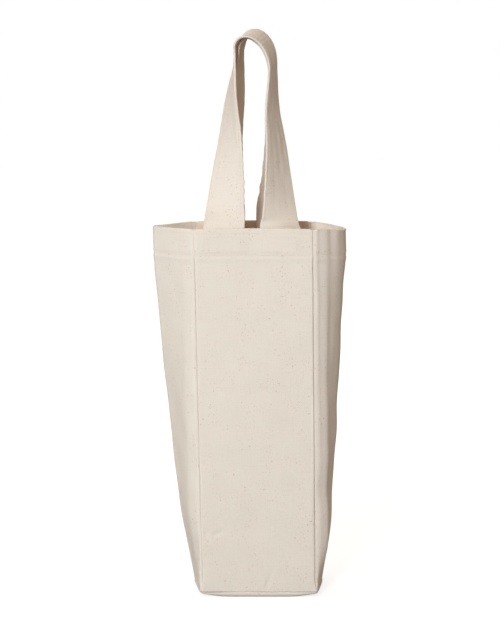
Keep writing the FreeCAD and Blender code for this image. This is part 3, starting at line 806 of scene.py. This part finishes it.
def strap_points(rail, seed, shaded_first):
    """Points over a strap: a flat rounded section carried along its rail.
    The section is thinner along the topstitching and a little full between; the stitched edge wanders
    in and out, and the strap cups, ripples and ribs slightly along its length. Short gathers cross it
    where it bends over the arch. Also returns the cloth's own coordinates, which jump where painted shade
    goes: on the face turned into the loop, and on the back strap also on the rounded edge beside that face.
    And it returns the two lines of the topstitching, one on each face."""
    middle, heading, across, through, length = rail
    half = STRAP_WIDTH / 2.0 - STRAP_THICKNESS / 2.0
    face = np.linspace(-half, half, FACE_STEPS)
    thick = 1.0 - STITCH_DIP * bump(face, EDGE_STITCH, 0.9) + FULLNESS * (1.0 - (face / half) ** 2)
    turn = np.linspace(-np.pi / 2.0, np.pi / 2.0, EDGE_TURN_STEPS)[1:-1]
    wide = np.concatenate([face, half + np.cos(turn), face[::-1], -half - np.cos(turn)])
    deep = np.concatenate([-thick, np.sin(turn), thick[::-1], -np.sin(turn)])
    along = length[:, None]
    level = 0.0 * along
    sway = 0.32 * drift(along, level, seed, 7.0) + 0.25 * drift(along, level, seed + 1, 19.0)
    loose = ease((along - HELD_END) / HELD_END) * ease((length[-1] - HELD_END - along) / HELD_END)
    side = wide + loose * sway * ease((wide - 6.0) / 10.0)
    cup = CUP * drift(along, level, seed + 2, 75.0) * ((wide / half) ** 2 - 0.4)
    ripple = 0.1 * drift(along, wide * 1.6, seed + 3, 16.0) + 0.09 * drift(along * 0.06, wide, seed + 4, 6.0)
    over_arch = bump(middle[:, :1], GATHER_MIDDLE, GATHER_REACH) * ease((middle[:, 2:] - 470.0) / 10.0)
    gathers = over_arch * np.sin(along * 1.65 + wide * 0.1)
    depth = deep + loose * (cup + ripple + GATHER_HEIGHT * gathers)
    points = middle[:, None] + across[:, None] * side[..., None] + through[:, None] * depth[..., None]
    girth = run_along(np.stack([np.append(wide, wide[0]), np.append(deep, deep[0])], -1))
    # Painted shade: the face turned into the loop is marked for the warm brown. On the back strap the last
    # few millimetres of its rounded edge are marked too, so that no lit line shows along it.
    inner = (girth < STRAP_WIDTH) | (girth > girth[-1] - 3.0) if shaded_first else (girth > STRAP_WIDTH)
    cloth = np.stack(np.broadcast_arrays(along, girth + STRAP_SHADE_FROM * inner), -1)
    free = middle[:, 2] > STRAP_FOOT + TOPSTITCH_FROM
    row = int(np.argmin(np.abs(face - EDGE_STITCH)))
    under = len(face) + len(turn) + len(face) - 1 - row
    return points, cloth, [(points[free, row], -through[free]), (points[free, under], through[free])]


# The straps' canvas, with painted warm shade on the marked faces.
strap_canvas = canvas("strap canvas", STRAP_TONE, STRAP_SHADE_FROM, STRAP_SHADE_SHARE, PAINTED_WARM_SHADE)
strap_rows = {}
for side, (sign, peak, arch_turn, tilts, seed) in ARCHES.items():
    rail = strap_rail(sign, LEGS[side], peak, arch_turn, tilts)
    points, cloth, strap_rows[side] = strap_points(rail, seed, side == "back")
    handle = piece(side + "_handle_strap", points, cloth, strap_canvas, caps=("first", "last"))
    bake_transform(handle)
    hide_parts(side + "_handle_loop", side + "_handle_ends")
    rail[4][-1] * MM

# Sewing. Natural cotton thread in lockstitch: a row along the hem, a row under the rim, a box at each
# strap end and a row along the open edge of each strap.

THREAD = 0.5
STITCH_PITCH = 3.1
STITCH_SHARE = 0.84
THREAD_TONE = (0.80, 0.73, 0.635)
THREAD_SHADE = (0.62, 0.54, 0.43)
TWISTS = 14.0
# A stitch is a bead: its thickness at five stations, and how far it rises from the cloth and sinks into it.
BEAD_GIRTH = (0.45, 0.9, 1.0, 0.9, 0.45)
BEAD_RISE = 0.8
BEAD_SINK = 0.45
# Rows of a wall's grid that lie on its outside, and the one among them where columns are looked up.
OUTSIDE_ROWS = slice(12, 224)
MIDDLE_ROW = 150
ROW_END = 2.0


def thread_finish():
    """Two-ply cotton thread: pale, with the darker slant of its twist."""
    material, tree, surface = new_finish("cotton thread")
    thread = Shade(tree)
    along, around = thread.cloth_place()[1:]
    twist = 0.5 + 0.5 * thread.math("SINE", TWISTS * along + 2.0 * math.pi * around)
    colour = thread.blend(0.6 * twist, THREAD_TONE, THREAD_SHADE)
    relief = thread.add("ShaderNodeBump", {}, {"Strength": 0.4, "Distance": 0.0001, "Height": twist})
    surface.inputs["Specular IOR Level"].default_value = 0.25
    surface.inputs["Roughness"].default_value = 0.7
    tree.links.new(colour.socket, surface.inputs["Base Color"])
    tree.links.new(relief.socket, surface.inputs["Normal"])
    return material


def sew(name, lines, material):
    """Stitches along lines of points and outward normals: each a short bead that humps up from the
    cloth as 1 minus t squared and dips into it at both ends, with a ring of six points at five stations."""
    stations = np.linspace(-1.0, 1.0, len(BEAD_GIRTH))
    ring = np.arange(6) * np.pi / 3.0
    girth = np.array(BEAD_GIRTH) * THREAD / 2.0
    raised = THREAD * (BEAD_RISE * (1.0 - stations**2) - BEAD_SINK)
    beads = []
    for points, normals in lines:
        length = run_along(points)
        count = max(int(round(length[-1] / STITCH_PITCH)), 1)
        pitch = length[-1] / count
        place = (np.arange(count)[:, None] + 0.5 + 0.5 * STITCH_SHARE * stations) * pitch
        spot = np.stack([np.interp(place, length, track) for track in points.T], -1)
        normal = unit(np.stack([np.interp(place, length, track) for track in normals.T], -1))
        tangent = unit(np.gradient(spot, axis=1))
        binormal = np.cross(tangent, normal)
        spot = spot + normal * raised[:, None]
        spoke = normal[:, :, None] * np.cos(ring)[:, None] + binormal[:, :, None] * np.sin(ring)[:, None]
        beads.append(spot[:, :, None] + spoke * girth[:, None, None])
    beads = np.concatenate(beads)
    index = np.arange(beads[..., 0].size).reshape(beads.shape[:3])
    wrap = np.concatenate([index, index[..., :1]], axis=2)
    quads = np.stack([wrap[:, :-1, :-1], wrap[:, 1:, :-1], wrap[:, 1:, 1:], wrap[:, :-1, 1:]], -1)
    quads = quads.reshape(-1, 4)
    caps = np.concatenate([index[:, 0], index[:, -1, ::-1]])
    spin = np.broadcast_to(ring / (2.0 * np.pi), beads.shape[:3])
    twist = np.broadcast_to(stations[:, None], beads.shape[:3])
    uv = np.stack([twist, spin], -1).reshape(-1, 2)[np.concatenate([quads.ravel(), caps.ravel()])]
    return add_mesh(name, beads, quads.tolist() + caps.tolist(), uv, material)


def outside(points):
    """The rows of a wall that lie on its outside, from foot to rim, with their outward normals."""
    normals = unit(np.cross(np.gradient(points, axis=1), np.gradient(points, axis=0)))
    return points[OUTSIDE_ROWS], normals[OUTSIDE_ROWS]


def level_line(points, z, inset):
    """The line across a wall at one height, stopping short of both seams."""
    grid, normals = outside(points)
    heights = grid[:, grid.shape[1] // 2, 2]
    upper = int(np.searchsorted(heights, z))
    share = (z - heights[upper - 1]) / (heights[upper] - heights[upper - 1])
    columns = slice(SEAM_COLUMN + 1, -SEAM_COLUMN - 1)
    line = mix(grid[upper - 1], grid[upper], share)[columns]
    normal = mix(normals[upper - 1], normals[upper], share)[columns]
    length = run_along(line)
    kept = (length > inset) & (length < length[-1] - inset)
    return line[kept], normal[kept]


def upright_line(points, x, low, high):
    """The line up a flat panel at one X between two heights."""
    grid, normals = outside(points)
    first = SEAM_COLUMN + 1
    column = int(np.argmin(np.abs(grid[MIDDLE_ROW, first:-first, 0] - x))) + first
    kept = (grid[:, column, 2] > low) & (grid[:, column, 2] < high)
    return grid[kept, column], normals[kept, column]


def box_lines(points, roots):
    """Four lines of stitches round each sewn strap end."""
    lines = []
    for root in roots:
        for z in (BOX_FOOT, BOX_TOP):
            line, normal = level_line(points, z, 1.0)
            kept = np.abs(line[:, 0] - root) < BOX_HALF
            lines.append((line[kept], normal[kept]))
        lines += [upright_line(points, root + aside, BOX_FOOT, BOX_TOP) for aside in (-BOX_HALF, BOX_HALF)]
    return lines


cotton_thread = thread_finish()
walls = (front_points, right_points, back_points, left_points)
hem_lines = [level_line(points, HEM_FOOT + HEM_ROW, ROW_END) for points in walls]
rim_lines = [level_line(points, BAG_HEIGHT - RIM_ROW, ROW_END) for points in walls]
sewn = (
    ("hem_stitches", hem_lines, "hem_stitching"),
    ("rim_stitches", rim_lines, "rim_stitching"),
    ("front_handle_box_stitches", box_lines(front_points, FRONT_ROOTS), "front_handle_stitching"),
    ("back_handle_box_stitches", box_lines(back_points, BACK_ROOTS), "back_handle_stitching"),
)
for name, lines, node in sewn:
    stitches = sew(name, lines, cotton_thread)
    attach(stitches, "bag")
    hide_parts(node)
for side, rows in strap_rows.items():
    stitches = sew(side + "_handle_edge_stitches", rows, cotton_thread)
    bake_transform(stitches)

# Floor. A wide matt pale sheet that the bag stands on. It glows where it is looked at, without lighting
# the bag, so that it fades into the plain white backdrop and keeps the bag's shadow.

FLOOR_HALF = 6000.0
FLOOR_HEIGHT = -0.05
FLOOR_TONE = (0.34, 0.34, 0.34)
# The glow under the bag and far off, and the distances in metres between which it changes.
FLOOR_GLOW = (0.79, 0.92)
FLOOR_FADE = (0.25, 1.2)


def seen_plainly(tree):
    """A share that is 1 where the camera, a gloss or a clear piece looks straight at the set."""
    camera = Shade(tree).add("ShaderNodeLightPath", {}, {}, "Is Camera Ray")
    glossy, clear = camera.other("Is Glossy Ray"), camera.other("Is Transmission Ray")
    return camera.math("MAXIMUM", camera.math("MAXIMUM", camera, glossy), clear)


floor_paint, floor_tree, floor_surface = new_finish("pale floor")
floor_surface.inputs["Base Color"].default_value = (*FLOOR_TONE, 1.0)
floor_surface.inputs["Roughness"].default_value = 1.0
floor_surface.inputs["Specular IOR Level"].default_value = 0.0
floor_surface.inputs["Emission Strength"].default_value = 1.0
floor_place = Shade(floor_tree).add("ShaderNodeTexCoord", {}, {}, "Object")
floor_away = floor_place.add("ShaderNodeVectorMath", {"operation": "LENGTH"}, {0: floor_place}, "Value")
floor_glow = FLOOR_GLOW[0] + (FLOOR_GLOW[1] - FLOOR_GLOW[0]) * floor_away.step(*FLOOR_FADE)
floor_glow = floor_glow * seen_plainly(floor_tree)
floor_tree.links.new(floor_glow.socket, floor_surface.inputs["Emission Color"])
span = np.array([-FLOOR_HALF, FLOOR_HALF])
floor_grid = np.stack(np.broadcast_arrays(span[None, :], span[:, None], FLOOR_HEIGHT), -1)
floor = piece("floor", floor_grid, floor_grid[..., :2], floor_paint)

# Light. A small lamp in front, a little to the left and above, wide ones from the left and from behind,
# and an even warm surround. The camera sees the surround as plain white.

# Each lamp: degrees to the left of the front, degrees up, distance and width in metres, and watts.
# They aim at a point up the middle of the bag, in metres too.
LAMPS = {
    "key": (12.5, 16.0, 2.2, 0.35, 33.0),
    "side": (85.0, 5.0, 2.0, 1.4, 10.5),
    "back": (175.0, 38.0, 2.2, 1.2, 18.0),
}
LAMP_AIM = np.array([0.0, 0.0, 0.25])
LAMP_TONE = (0.93, 0.98, 1.0)
SURROUND_TONE = (0.46, 0.35, 0.268)
WHITE = (1.0, 1.0, 1.0)

for name, (azimuth, height, distance, size, power) in LAMPS.items():
    azimuth, height = math.radians(azimuth), math.radians(height)
    way = (-math.sin(azimuth) * math.cos(height), -math.cos(azimuth) * math.cos(height), math.sin(height))
    lamp = bpy.data.lights.new(name, "AREA")
    lamp.shape = "SQUARE"
    lamp.size = size
    lamp.energy = power
    lamp.color = LAMP_TONE
    stand = bpy.data.objects.new(name, lamp)
    stand.location = LAMP_AIM + np.array(way) * distance
    stand.rotation_euler = (math.pi / 2.0 - height, 0.0, -azimuth)
    bpy.context.scene.collection.objects.link(stand)

surround = bpy.data.worlds.new("surround")
surround.use_nodes = True
bpy.context.scene.world = surround
surround_seen = seen_plainly(surround.node_tree)
surround_light = surround.node_tree.nodes["Background"]
surround_light.inputs["Strength"].default_value = 1.0
surround_colour = surround_seen.blend(surround_seen, SURROUND_TONE, WHITE)
surround.node_tree.links.new(surround_colour.socket, surround_light.inputs["Color"])

# Camera. A long lens straight in front, as high as the tops of the handles and tipped down.
# Its place is in metres and its tip in degrees below level.

CAMERA_PLACE = (-0.0081, -2.2, 0.511)
CAMERA_TIP = 6.86
CAMERA_LENS = 143.02

camera = bpy.data.cameras.new("camera")
camera.sensor_width = 36.0
camera.lens = CAMERA_LENS
camera_stand = bpy.data.objects.new("camera", camera)
camera_stand.location = CAMERA_PLACE
camera_stand.rotation_euler = (math.radians(90.0 - CAMERA_TIP), 0.0, 0.0)
bpy.context.scene.collection.objects.link(camera_stand)
bpy.context.scene.camera = camera_stand
bpy.context.scene.view_settings.view_transform = "Standard"
